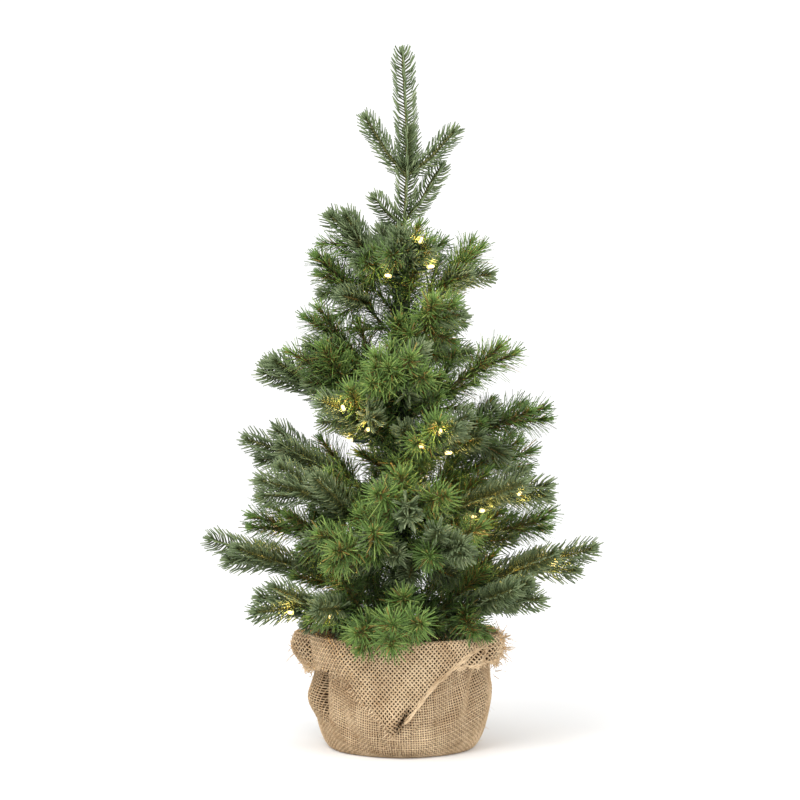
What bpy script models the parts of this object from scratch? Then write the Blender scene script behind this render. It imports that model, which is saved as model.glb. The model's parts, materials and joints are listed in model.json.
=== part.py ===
"""Artificial tabletop tree with jute-wrapped base, bendable branches and a battery light string.

Run with: blender --background --python part.py
Metres, +Z up. The origin is the centre of the base on the table; +X is right, -Y is the front.
Each branch is drawn in its own frame: +X runs outward from the trunk, and its origin is its hinge.
"""

import math
import random
from collections import namedtuple

import bmesh
import bpy
import numpy as np
from mathutils import Matrix, Vector

MM = 0.001
GAP = 0.3 * MM

# Trunk
POLE_RADIUS = 5.0 * MM
WRAP_RADIUS = 6.9 * MM
HINGE_RADIUS = 9.0 * MM
POLE_BOTTOM = 8.0 * MM
TOP_HINGE_HEIGHT = 435.0 * MM
LEADER_TIP = (0.5 * MM, 0.0, 592.0 * MM)

# Base
CLOTH_THICKNESS = 2.0 * MM
BAG_HEIGHT = 99.0 * MM
BAG_BOTTOM_RADIUS = 60.0 * MM
BAG_WIDEST_RADIUS = 76.0 * MM
BAG_WIDEST_HEIGHT = 50.0 * MM
CUFF_STEP = 2.5 * MM
CUFF_BULGE = 6.0 * MM
CUFF_EDGE_HEIGHT = 70.0 * MM
CUFF_POINT_HEIGHT = 24.0 * MM
CUFF_POINT_HALF_ANGLE = math.radians(64)
POT_HEIGHT = 80.0 * MM
POT_TOP_RADIUS = 68.0 * MM
POT_BOTTOM_RADIUS = 52.0 * MM
POT_WALL = 2.0 * MM
CEMENT_TOP = 64.0 * MM
SOCKET_RADIUS = 8.0 * MM
SOCKET_TOP = 88.0 * MM

# Battery box, lying on the table behind the base
CASE_LENGTH = 76.0 * MM
CASE_WIDTH = 49.0 * MM
CASE_HEIGHT = 19.0 * MM
CASE_WALL = 1.6 * MM
CASE_FRONT = 94.0 * MM
LID_THICKNESS = 1.8 * MM
CELL_RADIUS = 7.1 * MM
CELL_LENGTH = 50.0 * MM
POLE_CAP_RADIUS = 2.7 * MM
BAY_LENGTH = 57.0 * MM
PLATE = 0.6 * MM
SLOT_LENGTH = 13.0 * MM
SLOT_HEIGHT = 5.0 * MM
SLOT_DEPTH = 2.6 * MM
SWITCH_TRAVEL = 6.0 * MM

# Wires
STEM_RADIUS = 1.5 * MM
SHOOT_RADIUS = 1.3 * MM
CABLE_RADIUS = 0.8 * MM
HUSK_RADIUS = 2.4 * MM
LAMP_LENGTH = 19.0 * MM
STEM_SIDES = 5
SHOOT_SIDES = 4

# Heights and reaches in mm, the azimuth in degrees: 0 is right and -90 is the front.
# `shape` seeds the angles of the side shoots.
Branch = namedtuple("Branch", "root azimuth reach tip lamps shape")
BRANCHES = (
    Branch(116, -10, 162, 172, 3, 906),
    Branch(110, -33, 134, 134, 0, 747),
    Branch(111, -94, 122, 103, 0, 15),
    Branch(110, -145, 145, 125, 3, 369),
    Branch(118, -177, 162, 178, 0, 546),
    Branch(114, 122, 151, 152, 0, 907),
    Branch(113, 62, 151, 150, 0, 149),
    Branch(152, -163, 129, 200, 2, 947),
    Branch(157, -66, 122, 184, 0, 21),
    Branch(160, -116, 122, 178, 0, 528),
    Branch(152, 12, 129, 198, 0, 849),
    Branch(176, -150, 134, 233, 0, 688),
    Branch(164, 110, 138, 205, 0, 802),
    Branch(162, 55, 134, 201, 0, 506),
    Branch(188, -24, 132, 227, 3, 182),
    Branch(201, -88, 107, 215, 0, 830),
    Branch(205, 170, 135, 262, 0, 276),
    Branch(208, 88, 120, 256, 3, 777),
    Branch(213, 26, 124, 250, 0, 137),
    Branch(239, -7, 119, 290, 0, 96),
    Branch(246, -62, 94, 278, 3, 492),
    Branch(252, -130, 102, 299, 3, 2),
    Branch(262, 178, 114, 328, 0, 41),
    Branch(256, 102, 104, 311, 0, 901),
    Branch(278, -152, 104, 338, 0, 250),
    Branch(284, -22, 100, 337, 0, 573),
    Branch(294, -98, 79, 327, 0, 23),
    Branch(309, -166, 81, 366, 0, 504),
    Branch(301, 70, 86, 351, 0, 30),
    Branch(343, -52, 67, 378, 0, 581),
    Branch(353, -178, 71, 417, 0, 709),
    Branch(362, 14, 69, 427, 3, 856),
    Branch(394, -160, 63, 453, 0, 800),
    Branch(396, -84, 45, 433, 3, 2),
    Branch(392, 104, 53, 443, 0, 707),
)


# ---------------------------------------------------------------- shapes of the wires


def unit(vector):
    return vector / np.linalg.norm(vector)


def direction(yaw, rise):
    """The unit vector that turns `yaw` to the left of +X and climbs by `rise`, in radians."""
    return np.array([math.cos(rise) * math.cos(yaw), math.cos(rise) * math.sin(yaw), math.sin(rise)])


def stem_curve(reach, climb, bow, sway):
    """A function of 0..1 that arches from the hinge to the tip of a branch."""

    def point(t):
        x = reach * t
        z = climb * t * t + 2 * t * (1 - t) * (0.5 * climb + 2 * bow)
        return np.array([x, sway * math.sin(math.pi * t), z])

    return point


def shoot_line(stem, t, yaw, rise, length):
    """Three points of a side shoot that leaves the stem at t and turns back towards its direction."""
    start = stem(t)
    along = unit(stem(t + 0.02) - stem(t - 0.02))
    stem_yaw = math.atan2(along[1], along[0])
    shoot_rise = math.asin(along[2]) + rise
    middle = start + 0.5 * length * direction(stem_yaw + yaw, shoot_rise)
    end = middle + 0.5 * length * direction(stem_yaw + 0.65 * yaw, shoot_rise)
    return [start, middle, end]


def branch_lines(branch):
    """The stem and the side shoots of a branch as lists of points, in metres, in the branch's own frame."""
    draw = random.Random(branch.shape)
    reach = branch.reach * MM - HINGE_RADIUS
    bow = draw.uniform(0.02, 0.07) * reach
    sway = draw.uniform(-0.04, 0.04) * reach
    stem = stem_curve(reach, (branch.tip - branch.root) * MM, bow, sway)
    side = draw.choice((-1, 1))
    size = (58 if reach > 95 * MM else 46 if reach > 60 * MM else 34) * MM
    spread = [math.radians(draw.uniform(26, 38)) for _ in range(2)]
    lift = [math.radians(draw.uniform(-4, 14)) for _ in range(2)]
    lines = [[stem(t) for t in np.linspace(0, 1, 5)]]
    lines.append(shoot_line(stem, draw.uniform(0.34, 0.43), side * spread[0], lift[0], size))
    lines.append(shoot_line(stem, draw.uniform(0.48, 0.56), -side * spread[1], lift[1], 0.92 * size))
    if reach > 60 * MM:
        yaw, rise = math.radians(draw.uniform(-22, 22)), math.radians(draw.uniform(18, 36))
        lines.append(shoot_line(stem, draw.uniform(0.2, 0.28), yaw, rise, 0.88 * size))
    if reach > 95 * MM:
        yaw, rise = math.radians(draw.uniform(-16, 16)), math.radians(draw.uniform(14, 26))
        down = 1 if branch.tip < 142 else -1
        lines.append(shoot_line(stem, draw.uniform(0.61, 0.68), yaw, down * rise, 0.68 * size))
    return lines


def lamp_lines(branch):
    """The cable under a stem and its lamps: a list of (points, index of the point where the husk starts)."""
    draw = random.Random(branch.shape + 5000)
    stem = branch_lines(branch)[0]
    side = draw.choice((-1, 1))

    def beside(t):
        """A point just under the stem, t of the way along it."""
        place = t * (len(stem) - 1)
        k = min(int(place), len(stem) - 2)
        on_stem = stem[k] + (place - k) * (stem[k + 1] - stem[k])
        return on_stem + np.array([0, side * 1.0 * MM, -4.6 * MM])

    cable = [beside(t) for t in (0.1, 0.25, 0.4, 0.55, 0.7)]
    heading = unit(cable[-1] - cable[-2])
    husk = cable[-1] + 5 * MM * unit(heading + np.array([0, 0.5 * side, -0.1]))
    end = husk + LAMP_LENGTH * unit(heading + np.array([0, 0.55 * side, 0.15]))
    runs = [([*cable, husk, end], len(cable))]
    for t, turn in ((0.28, -side), (0.47, side))[: branch.lamps - 1]:
        start = beside(t)
        husk = start + np.array([6 * MM, turn * 6 * MM, -1.5 * MM])
        end = husk + LAMP_LENGTH * unit(np.array([0.8, turn * 0.9, 0.1]))
        runs.append(([start, husk, end], 1))
    return runs


# Shoots of the top: height where they leave the leader, and the place of the tip (mm)
TOP_SHOOTS = (
    (488, (-30, -3, 537)),
    (489, (44, -4, 526)),
    (487, (7, 35, 530)),
    (446, (-22, -8, 469)),
    (450, (33, 6, 496)),
)


def leader_point(height):
    """The leader's centre line, which bulges a little to the right on its way up."""
    share = (height - TOP_HINGE_HEIGHT) / (LEADER_TIP[2] - TOP_HINGE_HEIGHT)
    return np.array([4.2 * MM * math.sin(math.pi * share**0.8) + share * LEADER_TIP[0], 0.0, height])


def top_lines():
    """The leader and its side shoots as lists of points, in metres, in the object's frame."""
    heights = np.linspace(TOP_HINGE_HEIGHT, LEADER_TIP[2], 6)
    lines = [[leader_point(height) for height in heights]]
    for height, tip in TOP_SHOOTS:
        start = leader_point(height * MM)
        end = np.array(tip) * MM
        middle = 0.5 * (start + end) + np.array([0, 0, -0.06 * np.linalg.norm(end - start)])
        lines.append([start, middle, end])
    return lines


def cable_path():
    """The cable from the battery box, up behind the base, over its rim and up along the trunk."""
    lane = math.radians(150)
    outlet = np.array([-CASE_LENGTH / 2 - GAP, CASE_FRONT + 14 * MM, 8 * MM])
    corners = [outlet, outlet - np.array([8 * MM, 0, 0])]
    for azimuth, radius, height in ((128, 98, 14), (133, 92, 32), (140, 91, 70), (148, 90, 98),
                                    (150, 80, 103), (150, 40, 105), (150, 12, 108)):
        turn = math.radians(azimuth)
        corners.append(np.array([radius * math.cos(turn), radius * math.sin(turn), height]) * MM)
    for height in (120, 270, 421):
        corners.append(np.array([HINGE_RADIUS * math.cos(lane), HINGE_RADIUS * math.sin(lane), height * MM]))
    return corners


# ---------------------------------------------------------------- meshes and objects


def material(name, colour, roughness, metallic=0.0):
    made = bpy.data.materials.new(name)
    made.use_nodes = True
    shader = made.node_tree.nodes["Principled BSDF"]
    shader.inputs["Base Color"].default_value = (*colour, 1.0)
    shader.inputs["Roughness"].default_value = roughness
    shader.inputs["Metallic"].default_value = metallic
    return made


def object_from(bm, name, finish, place=(0, 0, 0), turn=0.0, smooth_angle=35.0):
    """Makes an object of a bmesh, with its origin at `place` and turned by `turn` about +Z."""
    bmesh.ops.recalc_face_normals(bm, faces=bm.faces)
    mesh = bpy.data.meshes.new(name)
    bm.to_mesh(mesh)
    bm.free()
    mesh.shade_smooth()
    mesh.set_sharp_from_angle(angle=math.radians(smooth_angle))
    mesh.materials.append(finish)
    made = bpy.data.objects.new(name, mesh)
    made.location = place
    made.rotation_euler = (0, 0, turn)
    bpy.context.scene.collection.objects.link(made)
    return made


def as_helper(helper):
    """A cutter or an addition is kept out of the model itself."""
    helper.hide_render = True
    helper.display_type = "WIRE"
    return helper


def boolean(target, helper, operation):
    modifier = target.modifiers.new(operation.lower(), "BOOLEAN")
    modifier.operation = operation
    modifier.use_self = operation == "UNION"
    modifier.object = as_helper(helper)


def add_ring(bm, centre, across, up, radius, sides):
    ring = []
    for k in range(sides):
        turn = 2 * math.pi * k / sides
        ring.append(bm.verts.new(Vector(centre + radius * (math.cos(turn) * across + math.sin(turn) * up))))
    return ring


def bridge(bm, ring_a, ring_b):
    for k in range(len(ring_a)):
        following = (k + 1) % len(ring_a)
        bm.faces.new((ring_a[k], ring_a[following], ring_b[following], ring_b[k]))


def add_tube(bm, points, radii, sides):
    """A closed tube along the points, with one radius for each point and flat ends."""
    points = [np.array(p, float) for p in points]
    rings = []
    across = np.array([0.0, 1.0, 0.0])
    for k, point in enumerate(points):
        before, after = points[max(k - 1, 0)], points[min(k + 1, len(points) - 1)]
        along = unit(after - before)
        if abs(across @ along) > 0.9:
            across = np.array([0.0, 0.0, 1.0])
        across = unit(across - (across @ along) * along)
        rings.append(add_ring(bm, point, across, np.cross(along, across), radii[k], sides))
    for ring_a, ring_b in zip(rings[:-1], rings[1:]):
        bridge(bm, ring_a, ring_b)
    bm.faces.new(rings[0])
    bm.faces.new(rings[-1])


def taper(start, end, count):
    return [start + (end - start) * k / (count - 1) for k in range(count)]


def add_wire(bm, line, radius, sides):
    """A wire with a blunt root and a tapered tip."""
    first, second = np.array(line[0]), np.array(line[1])
    root = first - 0.8 * radius * unit(second - first)
    points = [root, *line]
    radii = [0.55 * radius, *taper(radius, 0.6 * radius, len(line))]
    add_tube(bm, points, radii, sides)


def add_lamp(bm, points, first, sides):
    """A cable that ends in a husk with a lamp; the last two points are the ends of the husk and lamp."""
    husk_start, lamp_end = np.array(points[first]), np.array(points[-1])
    along = lamp_end - husk_start
    stations = ((0.0, CABLE_RADIUS), (0.12, HUSK_RADIUS), (0.68, HUSK_RADIUS), (0.72, 0.8 * HUSK_RADIUS),
                (0.9, 0.75 * HUSK_RADIUS), (1.0, 0.35 * HUSK_RADIUS))
    line = [*points[:first], *(husk_start + share * along for share, _ in stations)]
    radii = [CABLE_RADIUS] * first + [radius for _, radius in stations]
    add_tube(bm, line, radii, sides)


def add_turned(bm, profile, sides, phase=0.0):
    """A closed outline of (radius, height) turned about +Z; a point on the axis becomes one vertex."""
    rings = []
    for radius, height in profile:
        if radius < 1e-6:
            rings.append([bm.verts.new((0, 0, height))])
            continue
        ring = []
        for k in range(sides):
            turn = phase + 2 * math.pi * k / sides
            ring.append(bm.verts.new((radius * math.cos(turn), radius * math.sin(turn), height)))
        rings.append(ring)
    for ring_a, ring_b in zip(rings, rings[1:] + rings[:1]):
        if len(ring_a) == 1 and len(ring_b) == 1:
            continue
        for k in range(sides):
            corners = [ring_a[k % len(ring_a)], ring_a[(k + 1) % len(ring_a)],
                       ring_b[(k + 1) % len(ring_b)], ring_b[k % len(ring_b)]]
            bm.faces.new(dict.fromkeys(corners))


def turned(name, finish, profile, sides=32):
    bm = bmesh.new()
    add_turned(bm, profile, sides)
    return object_from(bm, name, finish)


def add_box(bm, low, high):
    centre = (Vector(low) + Vector(high)) / 2
    size = Vector(high) - Vector(low)
    matrix = Matrix.Translation(centre) @ Matrix.Diagonal((*size, 1.0))
    bmesh.ops.create_cube(bm, size=1.0, matrix=matrix)


def box(name, finish, low, high):
    """A box with its origin at its own centre."""
    centre = (Vector(low) + Vector(high)) / 2
    bm = bmesh.new()
    add_box(bm, Vector(low) - centre, Vector(high) - centre)
    return object_from(bm, name, finish, centre)


# ---------------------------------------------------------------- base


def bag_radius(height):
    """The outer radius of the cloth below the cuff: a half round from the bottom, then nearly upright."""
    low = min(height / BAG_WIDEST_HEIGHT, 1.0)
    high = max(height - BAG_WIDEST_HEIGHT, 0.0) / (BAG_HEIGHT - BAG_WIDEST_HEIGHT)
    swell = math.sqrt(1 - (1 - low) ** 2)
    return BAG_BOTTOM_RADIUS + (BAG_WIDEST_RADIUS - BAG_BOTTOM_RADIUS) * swell - 1.5 * MM * high


def cuff_edge(azimuth):
    """Height of the cuff's lower edge, which drops to a point at the front."""
    off_front = abs((azimuth + math.pi / 2 + math.pi) % (2 * math.pi) - math.pi)
    share = min(off_front / CUFF_POINT_HALF_ANGLE, 1.0)
    return CUFF_POINT_HEIGHT + (CUFF_EDGE_HEIGHT - CUFF_POINT_HEIGHT) * share


def bag_section(azimuth):
    """The cloth's closed outline at one azimuth: outside from the bottom, over the cuff, then inside."""
    edge = cuff_edge(azimuth)
    outline = [(0.0, 0.0), (BAG_BOTTOM_RADIUS - 3 * MM, 0.0)]
    outline += [(bag_radius(edge * share), edge * share) for share in (0.12, 0.4, 0.7, 1.0)]
    for share in (0.0, 0.35, 0.7, 0.92):
        height = edge + (BAG_HEIGHT - edge) * share
        bulge = CUFF_STEP + CUFF_BULGE * max(height - BAG_WIDEST_HEIGHT, 0.0) / (BAG_HEIGHT - BAG_WIDEST_HEIGHT)
        outline.append((bag_radius(height) + bulge, height))
    outline.append((bag_radius(BAG_HEIGHT) + 0.5 * CUFF_BULGE, BAG_HEIGHT))
    for height in (0.9 * BAG_HEIGHT, BAG_WIDEST_HEIGHT, 0.3 * BAG_HEIGHT, 0.06 * BAG_HEIGHT):
        outline.append((bag_radius(height) - CLOTH_THICKNESS, height))
    outline += [(BAG_BOTTOM_RADIUS - 5 * MM, CLOTH_THICKNESS), (0.0, CLOTH_THICKNESS)]
    return outline


def make_burlap_wrap(finish, sides=48):
    bm = bmesh.new()
    bottom = bm.verts.new((0, 0, 0))
    floor = bm.verts.new((0, 0, CLOTH_THICKNESS))
    columns = []
    for k in range(sides):
        azimuth = 2 * math.pi * k / sides
        ring = [(r * math.cos(azimuth), r * math.sin(azimuth), z) for r, z in bag_section(azimuth)[1:-1]]
        columns.append([bm.verts.new(place) for place in ring])
    for column, following in zip(columns, columns[1:] + columns[:1]):
        bm.faces.new((bottom, following[0], column[0]))
        bm.faces.new((floor, column[-1], following[-1]))
        for k in range(len(column) - 1):
            bm.faces.new((column[k], following[k], following[k + 1], column[k + 1]))
    return object_from(bm, "burlap_wrap", finish)


def make_base(cloth, plastic, cement):
    make_burlap_wrap(cloth)
    floor = CLOTH_THICKNESS + GAP
    inner = POT_TOP_RADIUS - POT_WALL
    inner_low = POT_BOTTOM_RADIUS - POT_WALL
    turned("base_pot", plastic, [
        (0, floor), (POT_BOTTOM_RADIUS, floor), (POT_TOP_RADIUS, POT_HEIGHT), (inner, POT_HEIGHT),
        (inner_low, floor + POT_WALL), (0, floor + POT_WALL),
    ])
    cement_floor = floor + POT_WALL + GAP
    slope = (inner - inner_low) / (POT_HEIGHT - floor)
    socket_hole = SOCKET_RADIUS + GAP
    turned("cement_weight", cement, [
        (socket_hole, cement_floor), (inner_low - GAP, cement_floor),
        (inner_low - GAP + slope * (CEMENT_TOP - cement_floor), CEMENT_TOP), (socket_hole, CEMENT_TOP),
    ])
    bore = POLE_RADIUS + GAP
    turned("trunk_socket", plastic, [
        (0, cement_floor), (SOCKET_RADIUS, cement_floor), (SOCKET_RADIUS, SOCKET_TOP), (bore, SOCKET_TOP),
        (bore, POLE_BOTTOM - GAP), (0, POLE_BOTTOM - GAP),
    ], sides=20)


# ---------------------------------------------------------------- trunk and branches


def make_trunk(steel, foliage):
    pole_top = TOP_HINGE_HEIGHT - 2.2 * MM
    turned("trunk_pole", steel, [
        (0, POLE_BOTTOM), (POLE_RADIUS, POLE_BOTTOM), (POLE_RADIUS, pole_top), (0, pole_top),
    ], sides=16)
    wrap_bottom = SOCKET_TOP + 12 * MM
    wrap_top = TOP_HINGE_HEIGHT - 13 * MM
    turned("trunk_wrap", foliage, [
        (POLE_RADIUS + GAP, wrap_bottom), (WRAP_RADIUS, wrap_bottom), (WRAP_RADIUS, wrap_top),
        (POLE_RADIUS + GAP, wrap_top),
    ], sides=16)


def wires(name, finish, lines, radius, place=(0, 0, 0), turn=0.0):
    """A stem (the first line) with side shoots joined to it."""
    bm = bmesh.new()
    add_wire(bm, lines[0], radius, STEM_SIDES)
    made = object_from(bm, name, finish, place, turn)
    bm = bmesh.new()
    for line in lines[1:]:
        add_tube(bm, line, [SHOOT_RADIUS, SHOOT_RADIUS, 0.6 * SHOOT_RADIUS], SHOOT_SIDES)
    boolean(made, object_from(bm, name + "_shoots", finish, place, turn), "UNION")
    return made


def hinge_place(branch):
    turn = math.radians(branch.azimuth)
    return (HINGE_RADIUS * math.cos(turn), HINGE_RADIUS * math.sin(turn), branch.root * MM), turn


def make_branches(foliage, cable):
    light_runs = 0
    for number, branch in enumerate(BRANCHES, start=1):
        place, turn = hinge_place(branch)
        wires(f"branch_{number:02d}", foliage, branch_lines(branch), STEM_RADIUS, place, turn)
        if branch.lamps:
            light_runs += 1
            make_light_run(f"light_run_{light_runs:02d}", cable, branch, place, turn)


def make_light_run(name, finish, branch, place, turn):
    """The cable along a branch as one body with its lamps."""
    runs = lamp_lines(branch)
    bm = bmesh.new()
    add_lamp(bm, *runs[0], 6)
    made = object_from(bm, name, finish, place, turn)
    if len(runs) > 1:
        bm = bmesh.new()
        for points, first in runs[1:]:
            add_lamp(bm, points, first, 6)
        boolean(made, object_from(bm, name + "_side_lamps", finish, place, turn), "UNION")


def make_top(foliage):
    """The leader and its shoots; its origin is where it bends on the trunk."""
    hinge = np.array([0, 0, TOP_HINGE_HEIGHT])
    lines = [[np.array(point) - hinge for point in line] for line in top_lines()]
    wires("tree_top", foliage, lines, STEM_RADIUS, tuple(hinge))


# ---------------------------------------------------------------- lights


def make_light_cable(finish):
    bm = bmesh.new()
    path = cable_path()
    add_tube(bm, path, [CABLE_RADIUS] * len(path), 6)
    object_from(bm, "light_cable", finish)


def make_battery_box(plastic, dark, cell, steel):
    """A tray with three cells side by side, a lid that slides off towards +X, and a switch at the back."""
    half = CASE_LENGTH / 2
    back = CASE_FRONT + CASE_WIDTH
    rim = CASE_HEIGHT - LID_THICKNESS - GAP
    case = box("battery_case", plastic, (-half, CASE_FRONT, 0), (half, back, rim))
    bay_low = -half + CASE_WALL
    bay_high = bay_low + BAY_LENGTH
    bay_front, bay_back = CASE_FRONT + CASE_WALL, back - CASE_WALL
    boolean(case, box("bay_cutter", dark, (bay_low, bay_front, CASE_WALL), (bay_high, bay_back, 2 * rim)),
            "DIFFERENCE")
    slot_x, slot_z = half - 9 * MM, CASE_HEIGHT / 2
    boolean(case, box("slot_cutter", dark,
                      (slot_x - SLOT_LENGTH / 2, back - SLOT_DEPTH, slot_z - SLOT_HEIGHT / 2),
                      (slot_x + SLOT_LENGTH / 2, back + MM, slot_z + SLOT_HEIGHT / 2)), "DIFFERENCE")
    make_lid(plastic, half, back, rim)
    make_switch(dark, slot_x, slot_z, back)
    pitch = (bay_back - bay_front) / 3
    for k in range(3):
        make_cell(f"battery_cell_{k + 1}", cell, bay_low + 4.4 * MM, bay_front + (k + 0.5) * pitch)
    make_contact("contact_spring_plate", steel, bay_low + GAP, PLATE, 3.2 * MM, bay_front, pitch)
    make_contact("contact_plate", steel, bay_high - GAP, -PLATE, -0.9 * MM, bay_front, pitch)


def make_cell(name, finish, low_x, centre_y):
    """An AA cell with its raised pole towards +X."""
    shoulder = CELL_LENGTH - MM
    bm = bmesh.new()
    add_tube(bm, [(0, 0, 0), (shoulder, 0, 0), (shoulder + 0.001 * MM, 0, 0), (CELL_LENGTH, 0, 0)],
             [CELL_RADIUS, CELL_RADIUS, POLE_CAP_RADIUS, POLE_CAP_RADIUS], 16)
    object_from(bm, name, finish, (low_x, centre_y, CASE_WALL + GAP + CELL_RADIUS))


def make_contact(name, finish, wall, thickness, reach, bay_front, pitch):
    """A strip across the three cells with one bump for each."""
    bm = bmesh.new()
    low_x, high_x = sorted((wall, wall + thickness))
    add_box(bm, (low_x, bay_front + GAP, CASE_WALL + GAP), (high_x, bay_front + 3 * pitch - GAP, 14 * MM))
    made = object_from(bm, name, finish)
    bm = bmesh.new()
    for k in range(3):
        centre = (bay_front + (k + 0.5) * pitch, CASE_WALL + GAP + CELL_RADIUS)
        add_tube(bm, [(wall + 0.5 * thickness, *centre), (wall + thickness + reach, *centre)],
                 [3.2 * MM, 2.0 * MM], 10)
    boolean(made, object_from(bm, name + "_bumps", finish), "UNION")


def make_lid(finish, half, back, rim):
    """A cover on the rim, with a lip that hooks over the end of the case and three finger ridges."""
    low = rim + GAP
    lid = box("battery_lid", finish, (-half, CASE_FRONT, low), (half + 2 * MM, back, low + LID_THICKNESS))
    bm = bmesh.new()
    middle = CASE_FRONT + CASE_WIDTH / 2
    add_box(bm, (half + GAP, CASE_FRONT + 8 * MM, 6 * MM), (half + 1.9 * MM, back - 8 * MM, low + MM))
    for k in range(3):
        x = half - (12 + 4 * k) * MM
        top = low + LID_THICKNESS + 0.7 * MM
        add_box(bm, (x - MM, middle - 8 * MM, low + MM), (x + MM, middle + 8 * MM, top))
    boolean(lid, object_from(bm, "lid_lip", finish), "UNION")


def make_switch(finish, slot_x, slot_z, back):
    """A slider in the slot, at the off end of its travel."""
    left = slot_x - SLOT_LENGTH / 2 + GAP
    foot = back - SLOT_DEPTH + GAP
    half_height = SLOT_HEIGHT / 2 - GAP
    box("switch_slider", finish, (left, foot, slot_z - half_height),
        (left + SLOT_LENGTH - SWITCH_TRAVEL - 2 * GAP, back + 1.4 * MM, slot_z + half_height))


def clear_scene():
    for existing in list(bpy.data.objects):
        bpy.data.objects.remove(existing)


def main():
    clear_scene()
    cloth = material("jute_cloth", (0.50, 0.37, 0.23), 0.95)
    plastic = material("black_plastic", (0.03, 0.03, 0.03), 0.5)
    dark = material("switch_plastic", (0.12, 0.12, 0.12), 0.45)
    cement = material("cement", (0.45, 0.44, 0.42), 0.9)
    steel = material("steel", (0.55, 0.55, 0.55), 0.35, 1.0)
    foliage = material("tree_foliage", (0.06, 0.16, 0.06), 0.7)
    cable = material("green_cable", (0.02, 0.06, 0.03), 0.5)
    cell = material("cell_jacket", (0.10, 0.18, 0.32), 0.4)
    make_base(cloth, plastic, cement)
    make_trunk(steel, foliage)
    make_branches(foliage, cable)
    make_top(foliage)
    make_light_cable(cable)
    make_battery_box(plastic, dark, cell, steel)


main()
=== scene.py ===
"""Looks of an artificial tabletop tree: needles, lamps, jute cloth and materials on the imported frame.

Metres, +Z up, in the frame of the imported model. A branch is drawn in its own frame, where +X runs
outward from the trunk and the origin is its hinge, and is then turned to its place.
"""

import json
import random
from collections import namedtuple
from math import asin, atan2, cos, pi, radians, sin

import bpy
import numpy as np
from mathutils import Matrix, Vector

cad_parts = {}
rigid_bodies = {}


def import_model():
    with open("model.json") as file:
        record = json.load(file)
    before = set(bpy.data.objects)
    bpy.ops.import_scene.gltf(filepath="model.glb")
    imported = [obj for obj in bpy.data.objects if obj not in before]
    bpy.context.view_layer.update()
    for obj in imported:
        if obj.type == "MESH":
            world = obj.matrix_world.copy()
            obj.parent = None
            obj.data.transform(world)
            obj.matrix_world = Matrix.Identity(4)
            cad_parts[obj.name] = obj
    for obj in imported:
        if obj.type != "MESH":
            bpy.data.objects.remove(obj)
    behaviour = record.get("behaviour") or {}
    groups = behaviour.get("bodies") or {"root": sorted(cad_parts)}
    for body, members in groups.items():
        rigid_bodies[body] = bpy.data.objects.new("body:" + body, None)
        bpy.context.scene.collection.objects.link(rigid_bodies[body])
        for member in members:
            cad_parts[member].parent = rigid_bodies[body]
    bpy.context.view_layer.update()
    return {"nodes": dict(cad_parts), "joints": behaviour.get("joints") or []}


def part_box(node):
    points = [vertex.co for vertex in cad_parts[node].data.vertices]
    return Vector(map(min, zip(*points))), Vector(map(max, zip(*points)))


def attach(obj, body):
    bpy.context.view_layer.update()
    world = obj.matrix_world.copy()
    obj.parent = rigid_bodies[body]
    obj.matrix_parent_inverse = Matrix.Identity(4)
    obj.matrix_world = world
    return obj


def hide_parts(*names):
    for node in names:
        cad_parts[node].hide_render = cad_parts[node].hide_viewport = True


MM = 0.001
GOLDEN_ANGLE = radians(137.508)
UP = np.array([0.0, 0.0, 1.0])
BASE = "base_and_trunk"

# Trunk and top, as in the frame
HINGE_RADIUS = 9 * MM
TOP_HINGE_HEIGHT = 435 * MM
LEADER_TIP = (0.5 * MM, 0.0, 592 * MM)
LEADER_BULGE = 4.2 * MM

# Short inner shoots: one more on branches above UPPER_ROOT, hanging ones below LOWER_ROOT
UPPER_ROOT = 290 * MM
LOWER_ROOT = 130 * MM
TWIGS = 5
TWIG_RADIUS = 1.0 * MM

# Garland round the trunk
GARLAND_STRANDS = 3
GARLAND_TURNS = 1.5
GARLAND_STATIONS = 60
GARLAND_SPRIGS = 22
GARLAND_SPRIG_HEIGHTS = (190 * MM, 425 * MM)

# Lights
LAMP_LENGTH = 19 * MM
HUSK_RADIUS = 2.4 * MM
GLOW_POWER = 0.045
GLOW_SHARE = 0.84
STRAND_RADIUS = 0.45 * MM
STRAND_STEP = 2.2 * MM
STRAND_TURNS_PER_MM = 0.16
# Route of the cable from behind the base to the top of the trunk, as in the frame: azimuth in degrees,
# radius and height in mm. It starts this far behind the battery box's front and above the ground.
CABLE_ROUTE = ((128, 98, 14), (133, 92, 32), (140, 91, 70), (148, 90, 98), (150, 80, 103),
               (150, 40, 105), (150, 12, 108), (150, 9, 120), (150, 9, 270), (150, 9, 421))
OUTLET_PLACE = (14 * MM, 8 * MM)

# Jute bag and its turned-down cuff, as in the frame
BAG_HEIGHT = 99 * MM
BAG_BOTTOM_RADIUS = 60 * MM
BAG_WIDEST_RADIUS = 76 * MM
BAG_WIDEST_HEIGHT = 50 * MM
CUFF_STEP = 2.5 * MM
CUFF_BULGE = 6.5 * MM
# Inner ends of the bag and of the cuff, as `travel` in bag_place and cuff_place
BAG_END = 112 * MM
CUFF_END = BAG_HEIGHT + 14 * MM
# Above this height the bag leans out to meet the inner end of the cuff
INSIDE_HEIGHT = 77 * MM
FRONT = -pi / 2
# Lower edge of the cuff: degrees to the right of the front, and height in mm
CUFF_EDGE = ((-180, 70), (-105, 68), (-75, 67), (-58, 73), (-43, 71), (-33, 58), (-16, 37), (-6, 19),
             (5, 36), (13, 51), (21, 64), (32, 76), (75, 76), (98, 68), (116, 73), (140, 65), (158, 72),
             (180, 70))

# Jute weave
BAG_YARNS = 228
BAG_YARN_PITCH = 2.1 * MM
BAG_YARN_RADIUS = 0.57 * MM
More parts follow.
